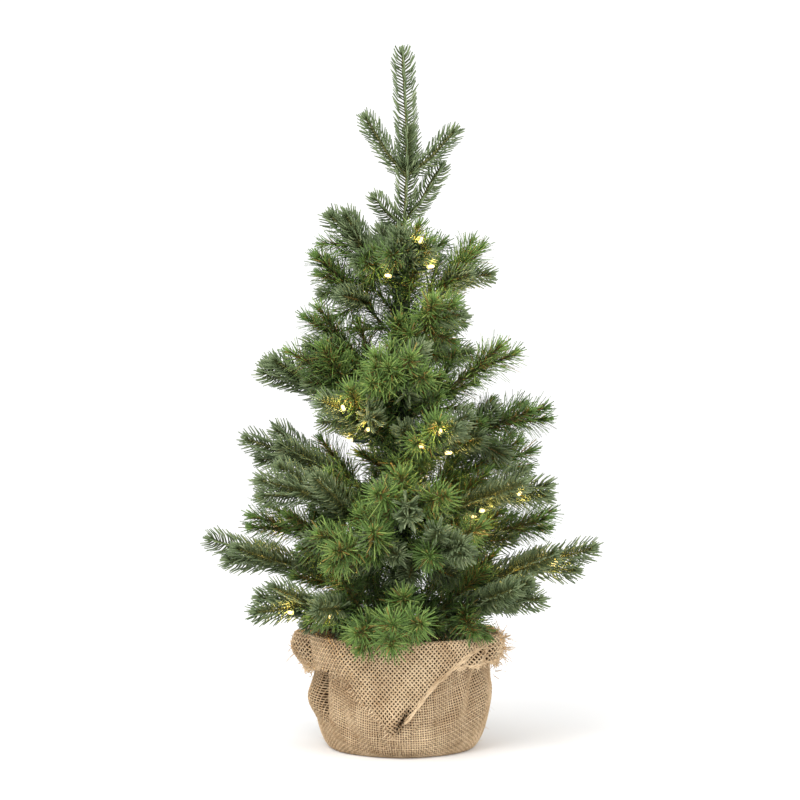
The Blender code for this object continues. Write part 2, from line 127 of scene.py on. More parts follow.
# How steeply the bag's level yarns climb at its sides
BAG_SAG = 0.36
CUFF_YARNS = 140
CUFF_ROW = 2.0 * MM
CUFF_ROW_START = 26 * MM
CUFF_YARN_RADIUS = 0.72 * MM
CUFF_ROLL = 3.2 * MM
CUFF_OVERLAP = 9 * MM
EDGE_YARN_RADIUS = 0.66 * MM
YARN_FLATNESS = 0.62
YARN_WAVE = 0.62 * MM
# How far the dark sheets of painted shade lie behind the weave
SHADE_SHEET_INSET = 1.1 * MM

# Studio
FLOOR_HALF = 6.0
WORLD_STRENGTH = 1.12
# Name, place, size and power of each soft light, all of them aimed at the middle of the tree
LIGHTS = (("key_light", (-0.9, -1.4, 2.1), 1.2, 37), ("fill_light", (1.5, -1.2, 0.9), 1.4, 8))
LIGHT_TARGET = (0, 0, 0.3)
CAMERA_PLACE = (0, -2.0, 0.37)
CAMERA_TARGET = (-0.0017, 0, 0.2974)
CAMERA_LENS = 105
CAMERA_SENSOR = 36

# What grows on a branch: reach and tip height in mm, lamps, and the seed of its side shoots, all as in
# the frame. `sprigs` has one letter for the stem and one for each shoot: m for moulded needles and c for
# cut ones. `tone` runs from 0 for dark to 1 for bright.
Branch = namedtuple("Branch", "reach tip lamps shape sprigs tone")
BRANCHES = [Branch(*row) for row in (
    (162, 172, 3, 906, "mmmcm", 0.45), (134, 134, 0, 747, "mmmcm", 0.4), (122, 103, 0, 15, "ccccc", 0.7),
    (145, 125, 3, 369, "mmmcm", 0.4), (162, 178, 0, 546, "mmmcm", 0.5), (151, 152, 0, 907, "mmccm", 0.4),
    (151, 150, 0, 149, "mcmcm", 0.4), (129, 200, 2, 947, "ccccc", 0.5), (122, 184, 0, 21, "mcmcm", 0.55),
    (122, 178, 0, 528, "ccccc", 0.72), (129, 198, 0, 849, "ccccc", 0.6),
    (134, 233, 0, 688, "mmmcm", 0.55), (138, 205, 0, 802, "ccccc", 0.5),
    (134, 201, 0, 506, "mmmcm", 0.45), (132, 227, 3, 182, "mmmcm", 0.5),
    (107, 215, 0, 830, "mcccm", 0.65), (135, 262, 0, 276, "mmmcm", 0.4),
    (120, 256, 3, 777, "ccccc", 0.55), (124, 250, 0, 137, "ccccc", 0.6), (119, 290, 0, 96, "ccccc", 0.4),
    (94, 278, 3, 492, "mmcc", 0.5), (102, 299, 3, 2, "mccc", 0.85), (114, 328, 0, 41, "mmmcm", 0.45),
    (104, 311, 0, 901, "mmcc", 0.45), (104, 338, 0, 250, "cccc", 0.6), (100, 337, 0, 573, "cccc", 0.8),
    (79, 327, 0, 23, "cccc", 0.85), (81, 366, 0, 504, "cccc", 0.6), (86, 351, 0, 30, "mmcc", 0.45),
    (67, 378, 0, 581, "cccc", 0.7), (71, 417, 0, 709, "cccc", 0.55), (69, 427, 3, 856, "cccc", 0.75),
    (63, 453, 0, 800, "mmmc", 0.5), (45, 433, 3, 2, "mmcc", 0.6), (53, 443, 0, 707, "mmmc", 0.5),
)]

# How needles stand on a wire. `angle` and `tip_angle` are from the wire, along it and at its tip, `turn`
# is from one needle to the next, and `spread` is how far a needle strays, all in degrees. `curl` bends
# needles back towards the wire. `sizes` are the shortest and longest as shares of the length, `profile`
# is (share of the length, width), and `tuft` is how many more needles close the tip.
Foliage = namedtuple("Foliage", """per_mm length width flatness angle tip_angle turn curl spread sizes
                                   profile tuft""")
MOULDED = Foliage(per_mm=2.2, length=20 * MM, width=0.74 * MM, flatness=0.9, angle=71, tip_angle=46,
                  turn=60, curl=0.34, spread=4, sizes=(0.92, 1.05),
                  profile=((0, 0.8), (0.5, 1), (1, 0.6)), tuft=16)
CUT = Foliage(per_mm=3, length=22 * MM, width=0.62 * MM, flatness=0.25, angle=58, tip_angle=24,
              turn=137.5, curl=0, spread=12, sizes=(0.72, 1.06), profile=((0, 0.85), (1, 0.75)), tuft=22)
CORE = CUT._replace(per_mm=1.6, length=10.5 * MM, width=0.6 * MM, angle=46, tip_angle=16, spread=14,
                    sizes=(0.7, 1.1), profile=((0, 0.8), (1, 0.5)), tuft=12)
GARLAND = CUT._replace(length=30 * MM, angle=74, spread=14, tuft=0)


# ---- vectors and meshes


def unit(vectors):
    return vectors / np.maximum(np.linalg.norm(vectors, axis=-1, keepdims=True), 1e-9)


def direction(yaw, rise):
    """The unit vector that turns `yaw` to the left of +X and climbs by `rise`, in radians."""
    return np.array([cos(rise) * cos(yaw), cos(rise) * sin(yaw), sin(rise)])


def sideways(along):
    """Two unit vectors across each direction, the first level unless the direction is upright."""
    reference = np.where(np.abs(along[:, 2:]) > 0.9, [0.0, 1.0, 0.0], UP)
    side = unit(np.cross(along, reference))
    return side, np.cross(side, along)


def placed(points, place):
    """Points of a branch's own frame, turned about +Z and moved to its hinge at `place`."""
    azimuth = atan2(place[1], place[0])
    matrix = [[cos(azimuth), -sin(azimuth), 0], [sin(azimuth), cos(azimuth), 0], [0, 0, 1]]
    return points @ np.array(matrix).T + place


def point_on(line, t):
    """The point at t, from 0 to 1, of a line of evenly counted points."""
    place = t * (len(line) - 1)
    whole = int(place)
    return line[whole] + (place - whole) * (line[whole + 1] - line[whole])


def bent_line(start, length, first, second):
    """Three points of a wire that sets out along `first` and turns towards `second` half-way."""
    middle = start + 0.5 * length * first
    return [start, middle, middle + 0.5 * length * second]


def add_object(name, data):
    made = bpy.data.objects.new(name, data)
    bpy.context.scene.collection.objects.link(made)
    return made


def tube_faces(rings, sides):
    """Triangles of one tube that is closed at both ends."""
    faces = []
    for ring in range(rings - 1):
        for side in range(sides):
            here, following = ring * sides + side, ring * sides + (side + 1) % sides
            faces.append((here, following, following + sides))
            faces.append((here, following + sides, here + sides))
    last = (rings - 1) * sides
    faces += [(0, side + 1, side) for side in range(1, sides - 1)]
    faces += [(last, last + side, last + side + 1) for side in range(1, sides - 1)]
    return np.array(faces)


class Surface:
    """Collects tubes and sheets, and makes one mesh of them.

    Every point has a note of three numbers that its material reads: how far along its tube it is,
    the tube's own shade, and a spare value.
    """

    def __init__(self):
        self.points, self.faces, self.slots, self.notes = [], [], [], []
        self.count = 0

    def add(self, points, faces, slot, notes):
        self.points.append(points)
        self.faces.append(faces + self.count)
        self.slots.append(np.full(len(faces), slot))
        self.notes.append(notes)
        self.count += len(points)

    def add_tubes(self, paths, radii, sides, up, flat=1.0, slot=0, shade=0.5, spare=0.0):
        """Adds n tubes: paths is (n, k, 3), radii (n, k), and up points to each tube's flat side."""
        count, stations, _ = paths.shape
        along = unit(np.gradient(paths, axis=1))
        across = unit(np.cross(np.broadcast_to(up, paths.shape), along))
        rise = np.cross(along, across)
        turn = 2 * pi * np.arange(sides) / sides
        level, steep = np.cos(turn)[:, None], np.sin(turn)[:, None]
        ring = level * across[:, :, None] + flat * steep * rise[:, :, None]
        points = paths[:, :, None] + radii[:, :, None, None] * ring
        size = stations * sides
        faces = tube_faces(stations, sides) + size * np.arange(count)[:, None, None]
        notes = np.empty((count, size, 3))
        notes[:, :, 0] = np.repeat(np.linspace(0, 1, stations), sides)
        notes[:, :, 1] = np.broadcast_to(shade, count)[:, None]
        notes[:, :, 2] = spare
        self.add(points.reshape(-1, 3), faces.reshape(-1, 3), slot, notes.reshape(-1, 3))

    def move(self, place):
        self.points = [placed(points, place) for points in self.points]

    def finish(self, name, materials, body, slot, *replaced):
        """Makes one mesh that rides on `body`, in the place of the frame nodes `replaced`."""
        points = np.concatenate(self.points)
        faces = np.concatenate(self.faces)
        mesh = bpy.data.meshes.new(name)
        mesh.vertices.add(len(points))
        mesh.vertices.foreach_set("co", points.astype(np.float32).ravel())
        mesh.loops.add(faces.size)
        mesh.loops.foreach_set("vertex_index", faces.astype(np.int32).ravel())
        mesh.polygons.add(len(faces))
        mesh.polygons.foreach_set("loop_start", np.arange(0, faces.size, 3, dtype=np.int32))
        mesh.polygons.foreach_set("material_index", np.concatenate(self.slots).astype(np.int32))
        mesh.update(calc_edges=True)
        notes = mesh.attributes.new("note", "FLOAT_VECTOR", "POINT")
        notes.data.foreach_set("vector", np.concatenate(self.notes).astype(np.float32).ravel())
        mesh.shade_smooth()
        for material in materials:
            mesh.materials.append(material)
        piece = add_object(name, mesh)
        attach(piece, body)
        if replaced:
            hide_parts(*replaced)


# ---- materials


class Graph:
    """A material whose nodes are added by short calls."""

    def __init__(self, name, roughness, metallic=0.0, specular=0.5):
        self.material = bpy.data.materials.new(name)
        self.material.use_nodes = True
        self.tree = self.material.node_tree
        self.shader = self.tree.nodes["Principled BSDF"]
        inputs = {"Roughness": roughness, "Metallic": metallic, "Specular IOR Level": specular}
        self.fill(self.shader, inputs)

    def fill(self, node, inputs):
        """Links each input that is given as a socket, and sets the others."""
        for place, value in inputs.items():
            if isinstance(value, bpy.types.NodeSocket):
                self.tree.links.new(value, node.inputs[place])
            else:
                node.inputs[place].default_value = value

    def node(self, kind, inputs=None, **values):
        made = self.tree.nodes.new(kind)
        for name, value in values.items():
            setattr(made, name, value)
        self.fill(made, inputs or {})
        return made

    def note(self):
        """The three numbers kept at each point: along, shade and spare."""
        source = self.node("ShaderNodeAttribute", attribute_name="note")
        return self.node("ShaderNodeSeparateXYZ", {0: source.outputs["Vector"]}).outputs

    def noise(self, scale, detail=3, stretch=(1, 1, 1)):
        place = self.node("ShaderNodeTexCoord").outputs["Object"]
        place = self.node("ShaderNodeMapping", {"Vector": place, "Scale": stretch}).outputs["Vector"]
        inputs = {"Vector": place, "Scale": scale, "Detail": detail, "Roughness": 0.55}
        return self.node("ShaderNodeTexNoise", inputs).outputs["Fac"]

    def math(self, operation, first, second):
        return self.node("ShaderNodeMath", {0: first, 1: second}, operation=operation).outputs[0]

    def ramp(self, factor, stops):
        """A colour for each (place, colour), blended between them."""
        made = self.node("ShaderNodeValToRGB", {0: factor})
        elements = made.color_ramp.elements
        while len(elements) < len(stops):
            elements.new(1.0)
        for element, (place, colour) in zip(elements, stops):
            element.position = place
            element.color = (*colour, 1.0)
        return made.outputs[0]

    def mix(self, factor, *colours):
        """A blend of two colours, each of them a socket or three numbers."""
        first, second = ((*colour, 1.0) if isinstance(colour, tuple) else colour for colour in colours)
        return self.node("ShaderNodeMix", {0: factor, 6: first, 7: second}, data_type="RGBA").outputs[2]

    def colour(self, socket):
        self.fill(self.shader, {"Base Color": socket})

    def bump(self, height, distance):
        made = self.node("ShaderNodeBump", {"Distance": distance, "Height": height})
        self.fill(self.shader, {"Normal": made.outputs[0]})

    def mottle(self, factor, stops, grain, depth):
        """Colours the material by `factor`, and adds a grain of the scale `grain`."""
        self.colour(self.ramp(factor, stops))
        self.bump(self.noise(grain, 2), depth)
        return self.material


def moulded_needle_material():
    """Solid moulded needles: grey-green, and paler towards the tip."""
    graph = Graph("moulded_needles", 0.55, specular=0.28)
    along, shade, _ = graph.note()
    patches = graph.math("MULTIPLY", graph.noise(45, 2), 0.45)
    value = graph.math("ADD", graph.math("MULTIPLY", shade, 0.75), patches)
    green = graph.ramp(value, [(0.18, (0.036, 0.062, 0.022)), (0.52, (0.106, 0.152, 0.063)),
                               (0.85, (0.205, 0.262, 0.122)), (1.0, (0.32, 0.37, 0.2))])
    root = graph.mix(0.5, green, (0.16, 0.18, 0.05))
    tip = graph.mix(0.25, green, (0.24, 0.3, 0.17))
    lower = graph.mix(graph.math("MULTIPLY", along, 2.0), root, green)
    graph.colour(graph.mix(graph.math("POWER", along, 2.5), lower, tip))
    return graph.material


def cut_needle_material():
    """Needles cut from sheet: fresh green with darker ones between, and brown ones at the wire."""
    graph = Graph("cut_needles", 0.52, specular=0.32)
    along, shade, core = graph.note()
    patches = graph.math("MULTIPLY", graph.noise(60, 2), 0.3)
    value = graph.math("ADD", graph.math("MULTIPLY", shade, 0.8), patches)
    green = graph.ramp(value, [(0.12, (0.012, 0.034, 0.006)), (0.45, (0.05, 0.116, 0.018)),
                               (0.75, (0.14, 0.258, 0.045)), (1.0, (0.33, 0.45, 0.11))])
    stray = graph.math("GREATER_THAN", graph.math("FRACT", graph.math("MULTIPLY", shade, 53.0), 0), 0.96)
    brown = graph.math("MAXIMUM", graph.math("MULTIPLY", stray, 0.7), graph.math("MULTIPLY", core, 0.85))
    rust = graph.ramp(shade, [(0.3, (0.085, 0.04, 0.011)), (0.8, (0.5, 0.235, 0.052))])
    colour = graph.mix(brown, green, rust)
    graph.colour(graph.mix(graph.math("MULTIPLY", along, 0.22), colour, (0.22, 0.3, 0.09)))
    return graph.material


def stem_material(name, colours):
    """A wire, its moulded cover, the trunk's wrap or its pole, mottled in three colours."""
    graph = Graph(name, 0.55)
    stops = list(zip((0.35, 0.55, 0.75), colours))
    return graph.mottle(graph.noise(260), stops, 700, 0.3 * MM)


def jute_material(name, dark, light, bump):
    """Coarse jute yarn: uneven tan colour along and across each yarn, and fine fibres."""
    graph = Graph(name, 0.92, specular=0.15)
    shade = graph.note()[1]
    blotches = graph.math("MULTIPLY", graph.noise(40, 4), 0.62)
    value = graph.math("ADD", graph.math("MULTIPLY", shade, 0.12), blotches)
    fine = graph.math("MULTIPLY", graph.noise(900, 2), 0.27)
    return graph.mottle(graph.math("ADD", value, fine), [(0.31, dark), (0.83, light)], 1500, bump)


def cable_material():
    """Smooth dark green insulation and husks."""
    graph = Graph("cable_plastic", 0.35)
    stops = [(0.3, (0.008, 0.02, 0.01)), (0.8, (0.018, 0.04, 0.02))]
    return graph.mottle(graph.noise(180, 2), stops, 500, 0.05 * MM)


def lamp_material():
    """A lit warm-white lamp."""
    graph = Graph("lit_lamp", 0.15)
    graph.colour(graph.ramp(graph.noise(120, 1), [(0.0, (1.0, 0.78, 0.4)), (1.0, (1.0, 0.86, 0.55))]))
    graph.fill(graph.shader, {"Emission Color": (1.0, 0.72, 0.3, 1.0), "Emission Strength": 2.4})
    return graph.material


def moulded_plastic_material(name, low, high, roughness, grain):
    """Injection-moulded plastic with a fine grain."""
    graph = Graph(name, roughness)
    return graph.mottle(graph.noise(70, 2), [(0.3, low), (0.8, high)], 1200, grain)


def cement_material():
    """Rough cast cement with small pores."""
    graph = Graph("cast_cement", 0.92, specular=0.2)
    graph.colour(graph.ramp(graph.noise(120, 5), [(0.3, (0.26, 0.25, 0.24)), (0.7, (0.48, 0.47, 0.45))]))
    graph.bump(graph.noise(260, 5), 0.6 * MM)
    return graph.material


def steel_material():
    """Drawn steel with fine lines along it."""
    graph = Graph("drawn_steel", 0.35, metallic=1.0)
    graph.colour(graph.ramp(graph.noise(200, 3, stretch=(1, 1, 0.05)),
                            [(0.3, (0.42, 0.42, 0.43)), (0.8, (0.62, 0.62, 0.63))]))
    graph.bump(graph.noise(900, 2, stretch=(1, 1, 0.03)), 0.05 * MM)
    return graph.material


def make_finishes():
    """Every material, by the name of its look."""
    # Name and three colours
    stems = {
        "stem": ("moulded_stem", ((0.09, 0.1, 0.026), (0.19, 0.19, 0.05), (0.32, 0.29, 0.09))),
        "wire": ("twisted_wire", ((0.03, 0.05, 0.014), (0.085, 0.075, 0.026), (0.16, 0.09, 0.03))),
        "wrap": ("trunk_wrap", ((0.01, 0.022, 0.006), (0.02, 0.04, 0.01), (0.04, 0.06, 0.02))),
        "pole": ("painted_pole", ((0.012, 0.02, 0.01), (0.02, 0.034, 0.014), (0.03, 0.05, 0.02))),
    }
    # Name, two colours, roughness and depth of the grain
    plastics = {
        "pot": ("pot_plastic", (0.012, 0.012, 0.012), (0.03, 0.03, 0.03), 0.5, 0.1 * MM),
        "box": ("box_plastic", (0.012, 0.035, 0.018), (0.022, 0.055, 0.03), 0.45, 0.12 * MM),
        "switch": ("switch_plastic", (0.05, 0.05, 0.05), (0.09, 0.09, 0.09), 0.4, 0.08 * MM),
        "cell": ("cell_jacket", (0.05, 0.09, 0.2), (0.09, 0.15, 0.3), 0.3, 0.02 * MM),
    }
    finishes = {
        "moulded": moulded_needle_material(),
        "cut": cut_needle_material(),
        "jute": jute_material("jute_yarn", (0.36, 0.225, 0.115), (1.0, 0.8, 0.54), 0.25 * MM),
        # Near-black jute for the sheets behind the weave: painted shade in the weave's holes
        "jute_shade": jute_material("painted_shade_jute", (0.035, 0.016, 0.006), (0.09, 0.048, 0.02), 0.4 * MM),
        "cable": cable_material(),
        "lamp": lamp_material(),
        "cement": cement_material(),
        "steel": steel_material(),
    }
    finishes |= {look: stem_material(*values) for look, values in stems.items()}
    finishes |= {look: moulded_plastic_material(*values) for look, values in plastics.items()}
    return finishes


def finish_frame_nodes(nodes, finishes):
    """Gives the frame nodes that stay their finish, and rounds the edges of the battery box."""
    looks = {"base_pot": "pot", "trunk_socket": "pot", "cement_weight": "cement", "trunk_pole": "pole",
             "trunk_wrap": "wrap", "tree_top": "stem", "battery_case": "box", "battery_lid": "box",
             "switch_slider": "switch", "contact_plate": "steel", "contact_spring_plate": "steel",
             "battery_cell_1": "cell", "battery_cell_2": "cell", "battery_cell_3": "cell"}
    for number, branch in enumerate(BRANCHES, start=1):
        looks[f"branch_{number:02d}"] = "stem" if branch.sprigs[0] == "m" else "wire"
    for name, look in looks.items():
        nodes[name].data.materials[0] = finishes[look]
    for name in ("battery_case", "battery_lid", "switch_slider"):
        bevel = nodes[name].modifiers.new("rounded_edges", "BEVEL")
        bevel.width = 0.5 * MM
        bevel.segments = 3
        bevel.limit_method = "ANGLE"


# ---- wires, as in the frame


def stem_curve(reach, climb, bow, sway):
    """A function of 0..1 that arches from the hinge to the tip of a branch."""

    def point(t):
        x = reach * t
        z = climb * t * t + 2 * t * (1 - t) * (0.5 * climb + 2 * bow)
        return np.array([x, sway * sin(pi * t), z])

    return point


def shoot_line(stem, t, yaw, rise, length):
    """A side shoot that leaves the stem at t and turns back towards its direction."""
    start = stem(t)
    along = unit(stem(t + 0.02) - stem(t - 0.02))
    stem_yaw = atan2(along[1], along[0])
    shoot_rise = asin(along[2]) + rise
    first = direction(stem_yaw + yaw, shoot_rise)
    return bent_line(start, length, first, direction(stem_yaw + 0.65 * yaw, shoot_rise))


def branch_lines(branch, root):
    """The stem and the side shoots of a branch as lists of points, in the branch's own frame."""
    draw = random.Random(branch.shape)
    reach = branch.reach * MM - HINGE_RADIUS
    bow = draw.uniform(0.02, 0.07) * reach
    sway = draw.uniform(-0.04, 0.04) * reach
    stem = stem_curve(reach, branch.tip * MM - root, bow, sway)
    side = draw.choice((-1, 1))
    size = (58 if reach > 95 * MM else 46 if reach > 60 * MM else 34) * MM
    spread = [radians(draw.uniform(26, 38)) for _ in range(2)]
    lift = [radians(draw.uniform(-4, 14)) for _ in range(2)]
    lines = [[stem(t) for t in np.linspace(0, 1, 5)]]
    lines.append(shoot_line(stem, draw.uniform(0.34, 0.43), side * spread[0], lift[0], size))
    lines.append(shoot_line(stem, draw.uniform(0.48, 0.56), -side * spread[1], lift[1], 0.92 * size))
    if reach > 60 * MM:
        yaw, rise = radians(draw.uniform(-22, 22)), radians(draw.uniform(18, 36))
        lines.append(shoot_line(stem, draw.uniform(0.2, 0.28), yaw, rise, 0.88 * size))
    if reach > 95 * MM:
        yaw, rise = radians(draw.uniform(-16, 16)), radians(draw.uniform(14, 26))
        down = 1 if branch.tip < 142 else -1
        lines.append(shoot_line(stem, draw.uniform(0.61, 0.68), yaw, down * rise, 0.68 * size))
    return lines


def lamp_lines(branch, stem):
    """The cable under a stem and its lamps: a list of (points, index of the husk's first point)."""
    draw = random.Random(branch.shape + 5000)
    side = draw.choice((-1, 1))

    def beside(t):
        """A point just under the stem, t of the way along it."""
        return point_on(stem, t) + [0, side * MM, -4.6 * MM]

    cable = [beside(t) for t in (0.1, 0.25, 0.4, 0.55, 0.7)]
    heading = unit(cable[-1] - cable[-2])
    husk = cable[-1] + 5 * MM * unit(heading + [0, 0.5 * side, -0.1])
    end = husk + LAMP_LENGTH * unit(heading + [0, 0.55 * side, 0.15])
    runs = [([*cable, husk, end], len(cable))]
    for t, turn in ((0.28, -side), (0.47, side))[: branch.lamps - 1]:
        start = beside(t)
        husk = start + [6 * MM, turn * 6 * MM, -1.5 * MM]
        end = husk + LAMP_LENGTH * unit(np.array([0.8, turn * 0.9, 0.1]))
        runs.append(([start, husk, end], 1))
    return runs


# Shoots of the top: height where they leave the leader, and the place of the tip (mm)
TOP_SHOOTS = ((488, (-30, -3, 537)), (489, (44, -4, 526)), (487, (7, 35, 530)), (446, (-22, -8, 469)),
              (450, (33, 6, 496)))


def leader_point(height):
    """The leader's centre line, which bulges a little to the right on its way up."""
    share = (height - TOP_HINGE_HEIGHT) / (LEADER_TIP[2] - TOP_HINGE_HEIGHT)
    return np.array([LEADER_BULGE * sin(pi * share**0.8) + share * LEADER_TIP[0], 0.0, height])


def top_lines():
    """The leader and its side shoots as lists of points."""
    heights = np.linspace(TOP_HINGE_HEIGHT, LEADER_TIP[2], 6)
    lines = [[leader_point(height) for height in heights]]
    for height, tip in TOP_SHOOTS:
        start = leader_point(height * MM)
        end = np.array(tip) * MM
        middle = 0.5 * (start + end) + [0, 0, -0.06 * np.linalg.norm(end - start)]
        lines.append([start, middle, end])
    return lines


# ---- needles


def places_along(line, spacing, first, last):
    """Evenly spaced points on a line from share `first` to share `last`, the line's direction at
    each, and how far it still goes on.
    """
    line = np.array(line)
    travel = np.append(0.0, np.cumsum(np.linalg.norm(np.diff(line, axis=0), axis=1)))
    places = np.arange(first * travel[-1], last * travel[-1], spacing)

    def points_at(places):
        return np.stack([np.interp(places, travel, line[:, axis]) for axis in range(3)], axis=1)

    along = unit(points_at(places + 6 * MM) - points_at(places - 6 * MM))
    return points_at(places), along, travel[-1] - places


def grow(surface, roots, along, angle, turn, length, foliage, shade, draw, spare):
    """Adds a needle at each root, leaning `angle` off the wire and turned about it by `turn`."""
    side, up = sideways(along)
    outward = np.cos(turn)[:, None] * side + np.sin(turn)[:, None] * up
    lean = np.cos(angle)[:, None] * along + np.sin(angle)[:, None] * outward
    shares, taper = np.array(foliage.profile).T
    curl = foliage.curl * draw.uniform(0.85, 1.15, len(roots))[:, None, None]
    droop = curl * shares[None, :, None] ** 2 * (along - lean)[:, None]
    paths = roots[:, None] + length[:, None, None] * (shares[None, :, None] * lean[:, None] + droop)
    width = foliage.width * draw.uniform(0.85, 1.15, len(roots))[:, None]
    flat = foliage.flatness
    surface.add_tubes(paths, width * taper, 3, along[:, None], flat, shade=shade, spare=spare)


def needles(surface, line, foliage, seed, tone, first=0.1, last=1.0, size=1.0, spare=0.0):
    """Covers a wire with needles, closing to a tuft at its tip when `last` is 1."""
    draw = np.random.default_rng(seed)
    roots, along, left = places_along(line, MM / foliage.per_mm, first, last)
    count = len(roots)
    roll = draw.uniform(0, 360)
    turn = np.radians(roll + foliage.turn * np.arange(count) + draw.normal(0, 4, count))
    full = np.clip(left / (0.5 * foliage.length), 0, 1) if last == 1.0 else np.ones(count)
    degrees = foliage.tip_angle + (foliage.angle - foliage.tip_angle) * full**0.7
    angle = np.radians(degrees + draw.normal(0, foliage.spread, count))
    length = size * foliage.length * draw.uniform(*foliage.sizes, count) * (0.66 + 0.34 * full)
    shade = np.clip(draw.normal(0.3 + 0.44 * tone, 0.25, count), 0, 1)
    if last == 1.0 and foliage.tuft:
        tuft = foliage.tuft
        roots = np.concatenate([roots, np.tile(line[-1], (tuft, 1))])
        along = np.concatenate([along, np.tile(along[-1], (tuft, 1))])
        turn = np.concatenate([turn, GOLDEN_ANGLE * np.arange(tuft)])
        angle = np.concatenate([angle, np.radians(np.linspace(4, foliage.tip_angle + 20, tuft))])
        length = np.concatenate([length, size * foliage.length * draw.uniform(0.34, 0.48, tuft)])
        shade = np.concatenate([shade, np.clip(draw.normal(0.4 + 0.44 * tone, 0.15, tuft), 0, 1)])
    grow(surface, roots, along, angle, turn, length, foliage, shade, draw, spare)


def add_sprig(surfaces, line, sort, seed, tone, first=0.1, size=1.0):
    """One wire's foliage: m for moulded needles, c for cut ones round a core of short brown ones."""
    if sort == "m":
        needles(surfaces["moulded"], line, MOULDED, seed, tone, first, 1.0, size)
        return
    needles(surfaces["cut"], line, CUT, seed, tone, first, 1.0, size)
    needles(surfaces["cut"], line, CORE, seed + 50, 0.5, first, 1.0, size, spare=1.0)


def twig_lines(branch, root, stem, draw):
    """Short inner shoots that fill the tree near the trunk; those of the lowest branches hang down."""
    wide = branch.reach > 75
    high = root > UPPER_ROOT
    lines = []
    for k in range(TWIGS + high):
        t = draw.uniform(0.06, 0.62 if high else 0.5)
        yaw = radians(draw.uniform(20, 75)) * (1 if k % 2 else -1)
        rise = radians(draw.uniform(-38, 15) if root < LOWER_ROOT else draw.uniform(-35, 50))
        length = (draw.uniform(32, 45) if wide else draw.uniform(24, 34)) * MM
        ahead = direction(0.6 * yaw, 0.8 * rise)
        lines.append(bent_line(point_on(stem, t), length, direction(yaw, rise), ahead))
    return lines


def make_branch(number, joint, branch, finishes):
    """The needles of one branch, in one piece for each sort of needle."""
    place = np.array(joint["pos_m"])
    lines = branch_lines(branch, place[2])
    surfaces = {"moulded": Surface(), "cut": Surface()}
    needles(surfaces["cut"], lines[0], CUT, 100 * number, 0.2, first=0.04, last=0.42)
    for k, (line, sort) in enumerate(zip(lines, branch.sprigs)):
        first = 0.34 if k == 0 else 0.1
        add_sprig(surfaces, line, sort, 100 * number + k + 1, branch.tone, first)
    draw = random.Random(branch.shape + 900)
    twigs = twig_lines(branch, place[2], lines[0], draw)
    for k, line in enumerate(twigs):
        sort, seed = draw.choice("cm"), 100 * number + 20 + k
        add_sprig(surfaces, line, sort, seed, branch.tone - 0.05, size=0.95)
    radii = np.tile(np.array([1.0, 0.9, 0.6]) * TWIG_RADIUS, (len(twigs), 1))
    surfaces["cut"].add_tubes(np.array(twigs), radii, 4, UP, spare=1.0)
    for name, surface in surfaces.items():
        if surface.count:
            surface.move(place)
            piece_name = f"{name}_needles_{number:02d}"
            surface.finish(piece_name, [finishes[name]], joint["child"], f"{name}_foliage")


def make_top(joint, finishes):
    """The leader and its shoots, all with moulded needles."""
    surface = Surface()
    for k, line in enumerate(top_lines()):
        needles(surface, line, MOULDED, 9000 + k, 0.5, first=0.06, size=0.92 if k == 0 else 0.85)
    surface.finish("moulded_needles_top", [finishes["moulded"]], joint["child"], "moulded_foliage")


def make_garland(finishes):
    """Long cut needles wound round the trunk between the branches, and short sprigs on it."""
    low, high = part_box("trunk_wrap")
    surface = Surface()
    share = np.linspace(0, 1, GARLAND_STATIONS)
    heights = np.linspace(low.z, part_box("trunk_pole")[1].z, GARLAND_STATIONS)
    for strand in range(GARLAND_STRANDS):
        turn = 2 * pi * strand / GARLAND_STRANDS + 2 * GARLAND_TURNS * pi * share
        line = cylinder_place(turn, np.full(GARLAND_STATIONS, high.x - 1 * MM), heights)
        needles(surface, line, GARLAND, 7000 + strand, 0.1, first=0.0, last=0.999)
    draw = random.Random(71)
    lowest, highest = GARLAND_SPRIG_HEIGHTS
    for k in range(GARLAND_SPRIGS):
        turn = GOLDEN_ANGLE * k
        start = cylinder_place(turn, 0.8 * high.x, lowest + (highest - lowest) * k / GARLAND_SPRIGS)
        rise = radians(draw.uniform(15, 60))
        length = draw.uniform(26, 38) * MM
        line = [start, start + length * direction(turn + draw.uniform(-0.5, 0.5), rise)]
        add_sprig({"cut": surface}, line, "c", 7100 + k, 0.35, first=0.0)
    surface.finish("trunk_garland", [finishes["cut"]], BASE, "cut_foliage")


# ---- jute cloth


def bag_radius(height):
    """The outer radius of the cloth below the cuff: round from the bottom, then nearly upright."""
    low = np.minimum(height / BAG_WIDEST_HEIGHT, 1.0)
    high = np.maximum(height - BAG_WIDEST_HEIGHT, 0.0) / (BAG_HEIGHT - BAG_WIDEST_HEIGHT)
    swell = np.sqrt(np.maximum(1 - (1 - low) ** 2, 0.0))
    return BAG_BOTTOM_RADIUS + (BAG_WIDEST_RADIUS - BAG_BOTTOM_RADIUS) * swell - 1.5 * MM * high


def angle_from(azimuth, centre):
    """The signed angle from `centre` to `azimuth`, from -pi to pi."""
    return (azimuth - centre + pi) % (2 * pi) - pi


def cuff_edge(azimuth):
    """Height of the cuff's lower edge, which drops to a point near the front."""
    angles, heights = np.array(CUFF_EDGE).T
    return MM * np.interp(np.degrees(angle_from(azimuth, FRONT)), angles, heights)


